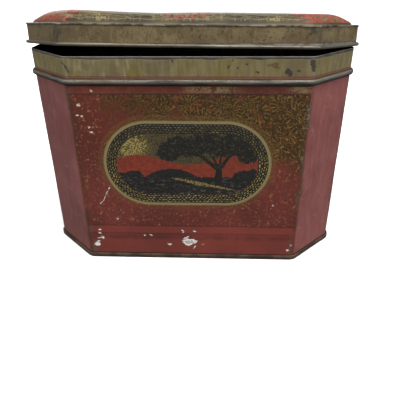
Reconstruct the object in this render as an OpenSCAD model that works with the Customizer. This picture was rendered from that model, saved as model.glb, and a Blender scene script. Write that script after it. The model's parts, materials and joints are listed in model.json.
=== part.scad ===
// Hinged biscuit tin: a straight-sided octagonal box of printed tinplate, with a neck that a shallow
// cushion-topped lid slips over. Two small hinges on the rear wall carry the lid.
// Millimetres. X runs across the front, Y from front to back, Z up. The tin stands on z = 0, and
// the origin is the middle of its footprint, hinges included. The lid is drawn standing ajar.

/* [Body] */
// Width of the body across its two end walls
body_w = 224; // [190:1:260]
// Depth of the body from its front wall to its rear wall
body_d = 150; // [130:1:170]
// Length of each cut corner, along X and along Y
corner_cut = 33; // [28:1:38]
// Outside radius where two walls meet
corner_r = 7; // [5:0.5:9]
// Thickness of the tinplate
sheet_t = 0.3; // [0.25:0.01:0.35]
// Free space between two folded layers
fold_gap = 0.05; // [0.04:0.01:0.08]

/* [Bead and neck] */
// Height of the middle of the rolled bead below the lid
bead_z = 137.3; // [100:0.1:180]
// Height of the rolled bead itself
bead_h = 4.4; // [3.6:0.1:5.2]
// How far the bead stands out from the wall
bead_out = 2.0; // [1.5:0.1:2.2]
// Height of the neck above the bead
neck_h = 13.7; // [12:0.1:16]
// Height of the hem that is folded inwards along the neck's top edge
hem_h = 2.6; // [1.6:0.1:3.6]

/* [Seams] */
// Height of the double seam that holds the bottom plate
base_seam_h = 3.6; // [3:0.1:4.4]
// Rise of the stiffening step in the bottom plate
base_step = 0.8; // [0.5:0.1:1.5]
// Distance of that step from the walls
base_step_in = 14; // [10:1:20]
// Place of the two side seams along Y, from the middle of the body
side_seam_y = 28; // [10:1:30]
// Width of the folded hooks of the side seams
side_seam_w = 5; // [4:0.5:6]

/* [Lid] */
// Free space between the neck and the lid's skirt
lid_gap = 0.9; // [0.85:0.05:1.1]
// Radius of the curl along the skirt's lower edge
curl_r = 1.1; // [0.9:0.05:1.2]
// Free space between the bead and the curl when the lid is shut
lid_seat = 1.5; // [0.8:0.1:1.8]
// Width of the flat margin round the cushion
margin_w = 4.6; // [4:0.2:6]
// Width of the cushion's rounded shoulder
shoulder_w = 11; // [8:1:14]
// Height of the cushion's shoulder above the margin
shoulder_h = 7.0; // [4:0.5:9]
// Further rise of the cushion from its shoulder to its middle
crown_h = 1.2; // [0.5:0.1:3]
// Angle at which the lid stands ajar
lid_open = 6.4; // [0:0.1:98]

/* [Hinges] */
// Distance of each hinge's middle from the middle of the rear wall
hinge_x = 48; // [36:1:54]
// Width of the lid's knuckle, in the middle of each hinge
lid_knuckle_w = 10; // [8:0.5:12]
// Width of each of the body's two knuckles
body_knuckle_w = 7; // [5:0.5:8]
// Free space between neighbouring knuckles
knuckle_gap = 0.15; // [0.1:0.05:0.3]
// Thickness of the hinge leaves
leaf_t = 0.5; // [0.4:0.05:0.55]
// Radius of the hinge pin
pin_r = 1.0; // [0.9:0.05:1.05]
// Radial clearance between a pin or a rivet and its hole
pin_fit = 0.05; // [0.03:0.01:0.08]
// Radius of the rivets' shanks
rivet_r = 1.1; // [0.9:0.05:1.2]
// Distance of each rivet from the middle of its leaf
rivet_x = 8; // [6:0.5:8.5]

/* [Hidden] */
$fn = 48;

half_w = body_w / 2;
half_d = body_d / 2;
layer = sheet_t + fold_gap;
bead_top = bead_z + bead_h / 2;
bead_low = bead_z - bead_h / 2;
neck_top = bead_top + neck_h;

// The colours of the printed and of the bare tinplate.
red_print = [0.42, 0.16, 0.13];
gold_print = [0.44, 0.39, 0.27];
olive_print = [0.38, 0.34, 0.24];
bare_tin = [0.50, 0.49, 0.45];

// ---- The octagon that every wall follows ----

// Its corners run anticlockwise from the front right one. Wall k ends at corner k, and faces the
// direction of wall_angle(k). Each corner is rounded about a fillet middle.
octagon = [
    [half_w - corner_cut, -half_d], [half_w, -half_d + corner_cut],
    [half_w, half_d - corner_cut], [half_w - corner_cut, half_d],
    [-half_w + corner_cut, half_d], [-half_w, half_d - corner_cut],
    [-half_w, -half_d + corner_cut], [-half_w + corner_cut, -half_d]
];
function wall_angle(k) = -90 + 45 * k;
function facing(k) = [cos(wall_angle(k)), sin(wall_angle(k))];
function inset_corner(k, r) = octagon[k] - r * (facing(k) + facing(k + 1)) / (1 + cos(45));
fillet_middles = [for (k = [0:7]) inset_corner(k, corner_r)];

// A bent sheet's section is the path of its middle, as [distance outwards from the wall's outer
// face, height]. Its two faces lie half the sheet's thickness to the left and right of the path.
function unit(v) = v / norm(v);
function left_of(v) = [-v.y, v.x];
function heading(path, i) = unit(path[i + 1] - path[i]);
function face_of(path, side) = [
    for (i = [0:len(path) - 1])
        let (
            before = heading(path, max(i, 1) - 1),
            after = heading(path, min(i, len(path) - 2)),
            across = left_of(before) + left_of(after)
        )
            path[i] + side * sheet_t * across / (across * across)
];
function reversed(list) = [for (i = [len(list) - 1:-1:0]) list[i]];

// A column is a place on the octagon, as [middle, direction outwards]. The wall's outer face lies
// corner_r from the middle. A band is a bent sheet carried from column to column.
fillet_steps = 6;
function corner_columns(k) = [
    for (i = [0:fillet_steps])
        let (a = wall_angle(k) + 45 * i / fillet_steps)
            [fillet_middles[k], [cos(a), sin(a)]]
];
function side_column(side, y) = [[side * (half_w - corner_r), y], [side, 0]];
function rear_column(x) = [[x, half_d - corner_r], [0, 1]];
module band(path, columns) {
    profile = concat(face_of(path, -1), reversed(face_of(path, 1)));
    m = len(profile);
    n = len(columns);
    last = (n - 1) * m;
    points = [for (c = columns, p = profile) [each c[0] + (corner_r + p[0]) * c[1], p[1]]];
    sides = [
        for (c = [0:n - 2], j = [0:m - 1], half = [0, 1])
            let (a = c * m + j, b = c * m + (j + 1) % m)
                half == 0 ? [a, b, b + m] : [a, b + m, a + m]
    ];
    ends = [
        for (j = [0:m / 2 - 2], end = [0, 1])
            end == 0 ? [m - 1 - j, m - 2 - j, j + 1, j]
                : [last + j, last + j + 1, last + m - 2 - j, last + m - 1 - j]
    ];
    polyhedron(points, concat(sides, ends), convexity = 10);
}

// The octagon as points, at a distance outwards from the wall's outer face. Far inside the wall
// its corners keep a least radius.
least_r = 0.6;
function octagon_at(out) = [
    for (k = [0:7], i = [0:fillet_steps])
        let (r = max(corner_r + out, least_r), a = wall_angle(k) + 45 * i / fillet_steps)
            inset_corner(k, r - out) + r * [cos(a), sin(a)]
];

// A dish is a panel that covers the octagon. Its rings are [distance outwards, height, scale about
// the middle], and run from the middle of its top, round its rim and back underneath.
module dish(rings, top_middle, low_middle) {
    n = 8 * (fillet_steps + 1);
    last = len(rings) * n;
    points = concat(
        [for (r = rings, p = octagon_at(r[0])) [p.x * r[2], p.y * r[2], r[1]]],
        [[0, 0, top_middle], [0, 0, low_middle]]
    );
    sides = [
        for (r = [0:len(rings) - 2], i = [0:n - 1], half = [0, 1])
            let (a = r * n + i, b = r * n + (i + 1) % n)
                half == 0 ? [a, b, b + n] : [a, b + n, a + n]
    ];
    middles = [
        for (i = [0:n - 1], under = [0, 1])
            let (a = i + under * (last - n), b = (i + 1) % n + under * (last - n))
                under == 0 ? [b, a, last] : [a, b, last + 1]
    ];
    polyhedron(points, concat(sides, middles), convexity = 10);
}

// ---- Body sheets ----

// The wall's path: its hook in the base seam, the bead, the neck and the neck's hem.
hook_z = sheet_t + fold_gap;
hook_out = 1.0;
hook_below_seam = 0.8;
hook_top = base_seam_h - hook_below_seam;
hem_in = 2 * sheet_t + fold_gap;
bead_steps = 10;
wall_path = concat(
    [
        [hook_out - sheet_t / 2, hook_top], [hook_out - sheet_t / 2, hook_z + sheet_t / 2],
        [-sheet_t / 2, hook_z + sheet_t / 2]
    ],
    [
        for (i = [0:bead_steps])
            let (a = -90 + 180 * i / bead_steps)
                [bead_out * cos(a) - sheet_t / 2, bead_z + (bead_h - sheet_t) / 2 * sin(a)]
    ],
    [
        [-sheet_t / 2, neck_top - sheet_t / 2], [-sheet_t / 2 - layer, neck_top - sheet_t / 2],
        [-sheet_t / 2 - layer, neck_top - hem_h]
    ]
);

// The two sheets hook into each other inside the side walls. A hook is a set of strips, each
// [inner face, front end, outer face, rear end], from the wall's outer face and the seam line.
seam_above_base = 2;
seam_below_bead = 3;
seam_low = base_seam_h + seam_above_base;
seam_high = bead_low - seam_below_bead;
seam_gap = 0.05;
front_hook = [
    [-2 * layer - sheet_t, -sheet_t, -sheet_t / 2, 0],
    [-2 * layer - sheet_t, -side_seam_w + seam_gap, -2 * layer, 0]
];
rear_hook = [
    [-3 * layer - sheet_t, seam_gap, -sheet_t / 2, seam_gap + sheet_t],
    [-3 * layer - sheet_t, -side_seam_w - layer, -3 * layer, seam_gap + sheet_t],
    [-3 * layer - sheet_t, -side_seam_w - layer, -layer, -side_seam_w - fold_gap],
    [-layer - sheet_t, -side_seam_w - layer, -layer, -sheet_t - 2 * fold_gap]
];
module seam_hooks(strips) {
    for (side = [-1, 1], s = strips)
        translate([side * half_w, side_seam_y, seam_low])
            linear_extrude(seam_high - seam_low)
                polygon([
                    [side * s[0], s[1]], [side * s[2], s[1]], [side * s[2], s[3]], [side * s[0], s[3]]
                ]);
}

front_columns = concat(
    [side_column(-1, side_seam_y)],
    [for (k = [6, 7, 0, 1]) each corner_columns(k)],
    [side_column(1, side_seam_y)]
);
module body_front_sheet() {
    color(red_print)
        union() {
            band(wall_path, front_columns);
            seam_hooks(front_hook);
        }
}

rear_columns = concat(
    [side_column(1, side_seam_y + seam_gap)],
    [for (k = [2:5]) each corner_columns(k)],
    [side_column(-1, side_seam_y + seam_gap)]
);
module body_rear_sheet() {
    color(red_print)
        difference() {
            union() {
                band(wall_path, rear_columns);
                seam_hooks(rear_hook);
            }
            at_body_rivets() rivet_hole();
        }
}

// ---- Bottom plate ----

// Its edge is folded round the hook of the wall, and the seam's lower edge is what the tin stands
// on. The panel inside lies higher, and has a stiffening step.
seam_face = hook_out + layer;
fold_in = 0.2;
panel_z = base_seam_h;
step_z = panel_z + base_step;
base_rings = [
    [-base_step_in, step_z + sheet_t, 1], [-base_step_in, panel_z + sheet_t, 1],
    [-layer, panel_z + sheet_t, 1], [-layer, sheet_t, 1], [seam_face - sheet_t, sheet_t, 1],
    [seam_face - sheet_t, base_seam_h - sheet_t, 1], [fold_in + sheet_t, base_seam_h - sheet_t, 1],
    [fold_in + sheet_t, hook_z + 2 * sheet_t, 1], [fold_in, hook_z + 2 * sheet_t, 1],
    [fold_in, base_seam_h, 1], [seam_face, base_seam_h, 1], [seam_face, 0, 1], [-hem_in, 0, 1],
    [-hem_in, panel_z, 1], [-base_step_in - sheet_t, panel_z, 1], [-base_step_in - sheet_t, step_z, 1]
];
module bottom_plate() {
    color(bare_tin)
        dish(base_rings, step_z + sheet_t, step_z);
}

// ---- Hinge geometry ----

// Both knuckles are rolled from their leaves, so the barrel is a leaf's thickness round its pin.
// The barrel lies just behind the curl of the skirt.
bore_r = pin_r + pin_fit;
barrel_r = bore_r + leaf_t;
skirt_out = lid_gap + sheet_t;
curl_middle = lid_gap + curl_r;
curl_z = bead_top + lid_seat + curl_r;
leaf_clear = 0.15;
axis_above_bead = 0.5;
axis_out = curl_middle + curl_r + leaf_clear + barrel_r;
axis_z = bead_top + axis_above_bead;
hinge_y = half_d + axis_out;
barrel_w = lid_knuckle_w + 2 * body_knuckle_w + 2 * knuckle_gap;
notch_clear = 0.45;
notch_h = barrel_r + notch_clear;

// The footprint reaches from the bead in front to the barrels behind.
centre_y = -(axis_out + barrel_r - bead_out) / 2;

// Draws an outline of [distance behind the rear wall, height] as a prism that is w wide along X.
module along_x(middle, w) {
    translate([middle - w / 2, half_d, 0])
        rotate([90, 0, 90])
            linear_extrude(w)
                children();
}
module about_hinge_axis(middle, w, r) {
    translate([middle - w / 2, hinge_y, axis_z])
        rotate([0, 90, 0])
            cylinder(r = r, h = w);
}

// A leaf's section lies flat on its wall from far to near, steps out, and ends beside the barrel.
function leaf_section(wall, far, near, out_z, end_z) =
    let (step = axis_out - barrel_r)
        [
            [wall, far], [wall, near], [step, out_z], [step, end_z],
            [step + leaf_t, end_z], [step + leaf_t, out_z], [wall + leaf_t, near], [wall + leaf_t, far]
        ];

// ---- Rivets ----

// Each rivet has a round head outside the leaf and a flat head inside the wall.
rivet_head_r = 1.9;
rivet_head_h = 0.7;
rivet_tail_h = 0.4;
rivet_ball_r = (rivet_head_r * rivet_head_r + rivet_head_h * rivet_head_h) / (2 * rivet_head_h);
rivet_grip = sheet_t + leaf_t + 3 * fold_gap;
rivet_below_bead = 9;
rivet_above_middle = 0.35;
body_rivet_z = bead_low - rivet_below_bead;
lid_rivet_z = (curl_z + curl_r + neck_top) / 2 + rivet_above_middle;
hole_inside = 2;
hole_depth = 5;

module at_rivets(wall, z) {
    for (hinge = [-1, 1], end = [-1, 1])
        translate([hinge * hinge_x + end * rivet_x, half_d + wall, z])
            rotate([-90, 0, 0])
                children();
}
module at_body_rivets() {
    at_rivets(0, body_rivet_z) children();
}
module at_lid_rivets() {
    at_rivets(skirt_out, lid_rivet_z) children();
}
module rivet_hole() {
    translate([0, 0, -hole_inside])
        cylinder(r = rivet_r + pin_fit, h = hole_depth);
}
module rivet() {
    inside = -sheet_t - fold_gap;
    translate([0, 0, inside - rivet_tail_h])
        cylinder(r = rivet_head_r, h = rivet_tail_h);
    translate([0, 0, inside - rivet_tail_h / 2])
        cylinder(r = rivet_r, h = rivet_grip + rivet_tail_h);
    intersection() {
        translate([0, 0, inside + rivet_grip])
            cylinder(r = rivet_head_r, h = rivet_head_h);
        translate([0, 0, inside + rivet_grip + rivet_head_h - rivet_ball_r])
            sphere(r = rivet_ball_r);
    }
}
module body_rivets() {
    color(bare_tin)
        at_body_rivets() rivet();
}
module lid_rivets() {
    color(bare_tin)
        set_ajar() at_lid_rivets() rivet();
}

// ---- Hinge leaves and pins ----

// A plate as wide as the barrel, less the other leaf's notch, joins the knuckles of each leaf.
leaf_overlap = 2;
leaf_below_rivet = 5.5;
leaf_step_h = 1.6;
body_leaf_low = body_rivet_z - leaf_below_rivet;
body_leaf_bend = bead_low - leaf_step_h;
body_leaf_out = bead_low + leaf_step_h;
module hinge_body_leaf(middle) {
    notch_w = lid_knuckle_w + 2 * knuckle_gap;
    color(bare_tin)
        difference() {
            union() {
                for (end = [-1, 1]) {
                    at = middle + end * (notch_w + body_knuckle_w) / 2;
                    along_x(at, body_knuckle_w)
                        polygon(leaf_section(
                            fold_gap, body_leaf_low, body_leaf_bend, body_leaf_out, axis_z
                        ));
                    about_hinge_axis(at, body_knuckle_w, barrel_r);
                }
                along_x(middle, notch_w + leaf_overlap)
                    polygon(leaf_section(
                        fold_gap, body_leaf_low, body_leaf_bend, body_leaf_out, axis_z - notch_h
                    ));
            }
            about_hinge_axis(middle, barrel_w + leaf_overlap, bore_r);
            at_body_rivets() rivet_hole();
        }
}
module hinge_body_leaf_left() {
    hinge_body_leaf(-hinge_x);
}
module hinge_body_leaf_right() {
    hinge_body_leaf(hinge_x);
}

leaf_below_neck = 0.6;
leaf_over_curl = 0.4;
lid_step_h = 1.5;
lid_leaf_far = neck_top - leaf_below_neck;
lid_leaf_out = curl_z + curl_r + leaf_over_curl;
lid_leaf_bend = lid_leaf_out + lid_step_h;
module hinge_lid_leaf(middle) {
    wall = skirt_out + fold_gap;
    color(bare_tin)
        set_ajar()
            difference() {
                union() {
                    along_x(middle, lid_knuckle_w)
                        polygon(leaf_section(wall, lid_leaf_far, lid_leaf_bend, lid_leaf_out, axis_z));
                    about_hinge_axis(middle, lid_knuckle_w, barrel_r);
                    along_x(middle, barrel_w)
                        polygon(leaf_section(
                            wall, lid_leaf_far, lid_leaf_bend, lid_leaf_out, axis_z + notch_h
                        ));
                }
                about_hinge_axis(middle, barrel_w + leaf_overlap, bore_r);
                at_lid_rivets() rivet_hole();
            }
}
module hinge_lid_leaf_left() {
    hinge_lid_leaf(-hinge_x);
}
module hinge_lid_leaf_right() {
    hinge_lid_leaf(hinge_x);
}

// A pin is a wire whose ends are peened over outside the body's knuckles.
pin_head_t = 0.4;
pin_head_w = 0.35;
pin_head_r = pin_r + pin_head_w;
module hinge_pin(middle) {
    color(bare_tin)
        union() {
            about_hinge_axis(middle, barrel_w + 2 * knuckle_gap + pin_head_t, pin_r);
            for (end = [-1, 1])
                about_hinge_axis(
                    middle + end * (barrel_w / 2 + knuckle_gap + pin_head_t / 2), pin_head_t, pin_head_r
                );
        }
}
module hinge_pin_left() {
    hinge_pin(-hinge_x);
}
module hinge_pin_right() {
    hinge_pin(hinge_x);
}

// ---- Lid, described as if shut and then turned about the hinge axis ----

module set_ajar() {
    translate([0, hinge_y, axis_z])
        rotate([-lid_open, 0, 0])
            translate([0, -hinge_y, -axis_z])
                children();
}

// The skirt's path: the curl, which turns outwards, the wall, and a flange that the top panel is
// folded round.
skirt_over_neck = 0.1;
flange_w = 0.1;
flange_z = neck_top + skirt_over_neck;
flange_out = skirt_out + flange_w;
curl_steps = 14;
curl_turn = 300;
skirt_path = concat(
    [
        for (i = [0:curl_steps])
            let (a = 180 + curl_turn * (1 - i / curl_steps))
                [curl_middle, curl_z] + (curl_r - sheet_t / 2) * [cos(a), sin(a)]
    ],
    [[lid_gap + sheet_t / 2, flange_z + sheet_t / 2], [flange_out, flange_z + sheet_t / 2]]
);

// The skirt is one strip, and its ends lap in the middle of the rear wall.
lap_w = 5;
lap_joint_w = 1;
lap_below_top = 1;
lap_low = curl_z + curl_r;
lap_high = flange_z - lap_below_top;
skirt_columns = concat(
    [rear_column(-fold_gap)],
    [for (k = [4:11]) each corner_columns(k % 8)],
    [rear_column(fold_gap)]
);
module lid_skirt_band() {
    color(gold_print)
        set_ajar()
            union() {
                difference() {
                    band(skirt_path, skirt_columns);
                    at_lid_rivets() rivet_hole();
                }
                translate([fold_gap, half_d + lid_gap - layer, lap_low])
                    cube([lap_joint_w, layer + sheet_t / 2, lap_high - lap_low]);
                translate([-lap_w, half_d + lid_gap - layer, lap_low])
                    cube([lap_w + lap_joint_w, sheet_t, lap_high - lap_low]);
            }
}

// The top panel runs from its middle over the cushion and the margin to the rim, round the skirt's
// flange, and back underneath. The cushion's crown is made of rings that shrink.
top_z = flange_z + sheet_t + fold_gap;
rim_out = flange_out + layer;
margin_in = skirt_out - margin_w;
shoulder_steps = 9;
crown_steps = 6;
function cushion(thin) = concat(
    [
        for (i = [1:crown_steps])
            let (s = i / crown_steps)
                [
                    margin_in - shoulder_w,
                    top_z + thin + shoulder_h + crown_h * (1 - s * s),
                    s
                ]
    ],
    [
        for (i = [1:shoulder_steps])
            let (a = 90 - 90 * i / shoulder_steps)
                [
                    margin_in - shoulder_w + (shoulder_w - sheet_t + thin) * cos(a),
                    top_z + thin + shoulder_h * sin(a),
                    1
                ]
    ]
);
panel_rings = concat(
    cushion(sheet_t),
    [
        [rim_out, top_z + sheet_t, 1], [rim_out, flange_z - layer, 1],
        [skirt_out + fold_gap, flange_z - layer, 1], [skirt_out + fold_gap, flange_z - fold_gap, 1],
        [flange_out + fold_gap, flange_z - fold_gap, 1], [flange_out + fold_gap, top_z, 1]
    ],
    reversed(cushion(0))
);
module lid_top_panel() {
    crown_z = top_z + shoulder_h + crown_h;
    color(olive_print)
        set_ajar()
            dish(panel_rings, crown_z + sheet_t, crown_z);
}

// ---- The parts, moved so that the origin is the middle of the footprint ----

module placed() {
    translate([0, centre_y, 0])
        children();
}
placed() body_front_sheet();
placed() body_rear_sheet();
placed() bottom_plate();
placed() hinge_body_leaf_left();
placed() hinge_body_leaf_right();
placed() hinge_pin_left();
placed() hinge_pin_right();
placed() body_rivets();
placed() lid_top_panel();
placed() lid_skirt_band();
placed() hinge_lid_leaf_left();
placed() hinge_lid_leaf_right();
placed() lid_rivets();
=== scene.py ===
import json
import math

import bmesh
import bpy
import numpy as np
from mathutils import Matrix, Vector


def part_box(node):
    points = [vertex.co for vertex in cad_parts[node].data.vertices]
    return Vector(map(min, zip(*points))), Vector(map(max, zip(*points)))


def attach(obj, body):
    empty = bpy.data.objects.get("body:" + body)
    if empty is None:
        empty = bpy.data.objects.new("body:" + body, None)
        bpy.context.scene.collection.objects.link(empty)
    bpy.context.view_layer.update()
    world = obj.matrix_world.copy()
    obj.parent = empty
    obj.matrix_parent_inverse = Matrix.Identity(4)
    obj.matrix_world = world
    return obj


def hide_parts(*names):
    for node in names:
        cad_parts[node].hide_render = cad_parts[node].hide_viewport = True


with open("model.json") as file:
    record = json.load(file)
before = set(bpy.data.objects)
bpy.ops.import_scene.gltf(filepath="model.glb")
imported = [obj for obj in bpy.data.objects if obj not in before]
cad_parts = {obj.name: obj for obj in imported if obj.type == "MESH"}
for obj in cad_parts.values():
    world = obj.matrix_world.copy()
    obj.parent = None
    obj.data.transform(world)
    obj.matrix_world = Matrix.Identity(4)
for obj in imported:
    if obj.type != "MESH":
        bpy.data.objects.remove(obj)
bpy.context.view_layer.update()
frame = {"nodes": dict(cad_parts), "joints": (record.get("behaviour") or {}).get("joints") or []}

# A hinged biscuit tin of printed tinplate. Lengths are in millimetres in the shapes and in the
# paint, and each mesh is turned into metres when it is made.
MM = 0.001


# ---------------- sizes, read from the frame

def box_mm(node):
    """The lowest and highest corners of a CAD node, in millimetres."""
    low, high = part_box(node)
    return np.array(low) / MM, np.array(high) / MM


FRONT_LOW, FRONT_HIGH = box_mm("body_front_sheet")
REAR_HIGH = box_mm("body_rear_sheet")[1]
HINGE = frame["joints"][0]
AXIS_Y = HINGE["pos_m"][1] / MM
AXIS_Z = HINGE["pos_m"][2] / MM

BEAD_OUT = 2.0
BEAD_H = 4.4
SHEET = 0.3
HALF_W = FRONT_HIGH[0] - BEAD_OUT
FRONT_Y = FRONT_LOW[1] + BEAD_OUT
REAR_Y = REAR_HIGH[1] - BEAD_OUT
MID_Y = (FRONT_Y + REAR_Y) / 2
HALF_D = (REAR_Y - FRONT_Y) / 2
NECK_TOP = FRONT_HIGH[2]
SEAM_Y = FRONT_HIGH[1] - MID_Y
CUT = 33.0
CORNER_R = 7.0
NECK_H = 13.7
BEAD_TOP = NECK_TOP - NECK_H
BEAD_Z = BEAD_TOP - BEAD_H / 2
BEAD_LOW = BEAD_TOP - BEAD_H
BASE_SEAM = 3.6
LID_AJAR = math.radians(-HINGE["range_deg"][0])
LID_GAP = 0.9
LAP_GAP = 0.05
LAP_W = 5.0
SKIRT_OUT = LID_GAP + SHEET
CURL_R = 1.1
CURL_OUT = LID_GAP + CURL_R
CURL_Z = BEAD_TOP + 1.5 + CURL_R
RIM_LOW = NECK_TOP - 0.25
RIM_TOP = NECK_TOP + 0.75
RIM_OUT = SKIRT_OUT + 0.45
MARGIN = 4.6
SHOULDER_W = 11.0
SHOULDER_H = 7.0
CROWN_H = 1.2


# ---------------- the octagon every wall follows

CORNERS = [
    (HALF_W - CUT, -HALF_D), (HALF_W, -HALF_D + CUT), (HALF_W, HALF_D - CUT), (HALF_W - CUT, HALF_D),
    (-HALF_W + CUT, HALF_D), (-HALF_W, HALF_D - CUT), (-HALF_W, -HALF_D + CUT), (-HALF_W + CUT, -HALF_D),
]
FILLET_STEPS = 10
FLAT_STEP = 4.0
LEAST_R = 4.0


def facing(k):
    """The direction that wall k faces; wall k ends at corner k. Fractions lie on the corner."""
    a = math.radians(-90 + 45 * k)
    return np.array([math.cos(a), math.sin(a)])


def corner_ways(k):
    """The directions that the rounded corner k faces, step by step."""
    return [facing(k + i / FILLET_STEPS) for i in range(FILLET_STEPS + 1)]


def fillet_middle(k, r):
    across = (facing(k) + facing((k + 1) % 8)) / (1 + math.cos(math.pi / 4))
    return np.array(CORNERS[k]) - r * across


def corner_points(k, out):
    """Points and directions round corner k at a distance outwards from the wall's outer face."""
    r = max(CORNER_R + out, LEAST_R)
    middle = fillet_middle(k, r - out)
    return [(middle + r * way, way) for way in corner_ways(k)]


def flat_counts():
    """How many steps each wall's flat takes: the same for every ring, so that rings match."""
    counts = []
    for k in range(8):
        start = corner_points((k - 1) % 8, 0)[-1][0]
        end = corner_points(k, 0)[0][0]
        counts.append(max(2, round(float(np.linalg.norm(end - start)) / FLAT_STEP)))
    return counts


FLATS = flat_counts()


def octagon_ring(out):
    """The whole octagon as (point, direction outwards), from the front wall's left end."""
    ring = []
    for k in range(8):
        start = corner_points((k - 1) % 8, out)[-1][0]
        corner = corner_points(k, out)
        end = corner[0][0]
        for i in range(1, FLATS[k]):
            ring.append((start + (end - start) * i / FLATS[k], facing(k)))
        ring.extend(corner)
    return ring


# ---------------- sheets, swept round the octagon

def corner_columns(k):
    middle = fillet_middle(k, CORNER_R)
    return [(middle, way) for way in corner_ways(k)]


def wall_columns(k, start=None, end=None):
    """Columns on wall k between its corners, or from start or to end where these are given."""
    a = fillet_middle((k - 1) % 8, CORNER_R) if start is None else start
    b = fillet_middle(k, CORNER_R) if end is None else end
    steps = max(2, round(float(np.linalg.norm(b - a)) / FLAT_STEP))
    first = 1 if start is None else 0
    last = steps - 1 if end is None else steps
    return [(a + (b - a) * i / steps, facing(k)) for i in range(first, last + 1)]


def side_place(side, y):
    return np.array([side * (HALF_W - CORNER_R), y])


def column_run(first, start, last, end):
    """Columns from a start on the first wall, round the corners, to an end on the last wall."""
    columns = wall_columns(first, start=start) + corner_columns(first)
    k = (first + 1) % 8
    while k != last:
        columns += wall_columns(k) + corner_columns(k)
        k = (k + 1) % 8
    return columns + wall_columns(last, end=end)


def front_columns():
    return column_run(6, side_place(-1, SEAM_Y), 2, side_place(1, SEAM_Y))


def rear_columns():
    behind = SEAM_Y + LAP_GAP
    return column_run(2, side_place(1, behind), 6, side_place(-1, behind))


def skirt_columns():
    middle = HALF_D - CORNER_R
    return column_run(4, np.array([-LAP_GAP, middle]), 4, np.array([LAP_GAP, middle]))


def arc(middle, r, start, end, steps):
    """Points of an arc from one angle to another, in degrees, as (distance outwards, height)."""
    found = []
    for i in range(steps + 1):
        a = math.radians(start + (end - start) * i / steps)
        found.append((middle[0] + r * math.cos(a), middle[1] + r * math.sin(a)))
    return found


def climb(out, low, high, steps):
    return [(out, low + (high - low) * i / steps) for i in range(steps + 1)]


def sheet_section(path, thick=SHEET):
    """A sheet's outline from the path of its middle: its outer face, then its inner one back."""
    p = np.array(path)
    step = np.diff(p, axis=0)
    step /= np.linalg.norm(step, axis=1)[:, None]
    left = np.stack([-step[:, 1], step[:, 0]], axis=1)
    across = np.vstack([left[:1] * 2, left[:-1] + left[1:], left[-1:] * 2])
    across *= thick / (across * across).sum(axis=1)[:, None]
    return np.vstack([p - across, (p + across)[::-1]])


def skin(rings, n):
    """The four-sided faces between neighbouring closed rings of n points each."""
    faces = []
    for r in range(rings - 1):
        for i in range(n):
            a, b = r * n + i, r * n + (i + 1) % n
            faces.append((a, a + n, b + n, b))
    return faces


def sweep(section, columns):
    """Vertices and faces of a section carried along the columns, with its ends closed."""
    m = len(section)
    verts = []
    for middle, way in columns:
        flat = middle + (CORNER_R + section[:, :1]) * way
        verts.append(np.hstack([flat, section[:, 1:]]))
    faces = skin(len(columns), m)
    last = (len(columns) - 1) * m
    for j in range(m // 2 - 1):
        faces.append((j, j + 1, m - 2 - j, m - 1 - j))
        faces.append((last + m - 1 - j, last + m - 2 - j, last + j + 1, last + j))
    return np.vstack(verts), faces


def dish(rings, top_z, low_z):
    """A panel over the octagon from rings of (distance outwards, height, scale), top first."""
    verts = []
    for out, z, scale in rings:
        for point, _ in octagon_ring(out):
            verts.append((point[0] * scale, point[1] * scale, z))
    n = len(verts) // len(rings)
    last = len(verts)
    verts += [(0, 0, top_z), (0, 0, low_z)]
    faces = skin(len(rings), n)
    for i in range(n):
        j = (i + 1) % n
        faces.append((last, i, j))
        faces.append((last + 1, last - n + j, last - n + i))
    return np.array(verts, float), faces


# ---------------- small faults of the pressed metal

def swell(x, y, z):
    """How far the walls stand out or in, as old sheet does between its stiff edges."""
    free = np.clip((z - BASE_SEAM) / 30, 0, 1) * np.clip((BEAD_LOW - z) / 25, 0, 1)
    round_about = x - y
    waves = (
        0.16 * np.sin(round_about / 24 + 0.7) * np.sin(z / 33 + 0.4)
        + 0.09 * np.sin(round_about / 11 + z / 19)
        + 0.05 * np.sin(x / 7 - z / 9 + 2.0)
    )
    return free * waves


def bulge_walls(verts):
    """Moves wall points along the wall's own direction by a small swell."""
    x, y, z = verts.T
    amount = swell(x, y, z)
    ahead = np.stack([x * HALF_D, y * HALF_W], axis=1)
    ahead /= np.linalg.norm(ahead, axis=1)[:, None]
    verts[:, :2] += ahead * amount[:, None]
    return verts


TWIST = 0.012
TWIST_LIFT = 0.85
SAG = 0.35
CURL_DROOP = 0.6
DIP_X, DIP_W, DIP_DEPTH = -10, 4, 0.55


def bend_lid(verts):
    """The lid has lost its flatness: it is twisted and sags at the front, where its rim has a dip
    and its curl droops."""
    x, y, z = verts.T
    forward = np.clip((HALF_D - y) / (2 * HALF_D), 0, 1)
    lift = forward * (TWIST_LIFT - TWIST * x) - SAG * forward**2 * (1 - (x / HALF_W) ** 2)
    on_rim = np.clip((z - RIM_LOW + 2) / 2, 0, 1) * np.clip((-HALF_D + 4 - y) / 4, 0, 1)
    dip = DIP_DEPTH * np.exp(-(((x - DIP_X) / DIP_W) ** 2)) + 0.15 * np.sin(x / 17) ** 2
    on_curl = np.clip((RIM_LOW - 2 - z) / 6, 0, 1) * np.clip((-HALF_D + 30 - y) / 30, 0, 1)
    verts[:, 2] += lift - on_rim * dip - on_curl * (CURL_DROOP + 0.25 * x / HALF_W)
    return verts


def set_ajar(verts):
    """Turns the shut lid's points about the hinge, to where the lid stands in the frame."""
    y, z = verts[:, 1] - AXIS_Y, verts[:, 2] - AXIS_Z
    c, s = math.cos(LID_AJAR), math.sin(LID_AJAR)
    verts[:, 1] = AXIS_Y + y * c + z * s
    verts[:, 2] = AXIS_Z - y * s + z * c
    return verts


# ---------------- meshes and pieces

SHARP = math.radians(38)


def link(thing):
    """Puts an object into the scene and returns it."""
    bpy.context.scene.collection.objects.link(thing)
    return thing


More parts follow.
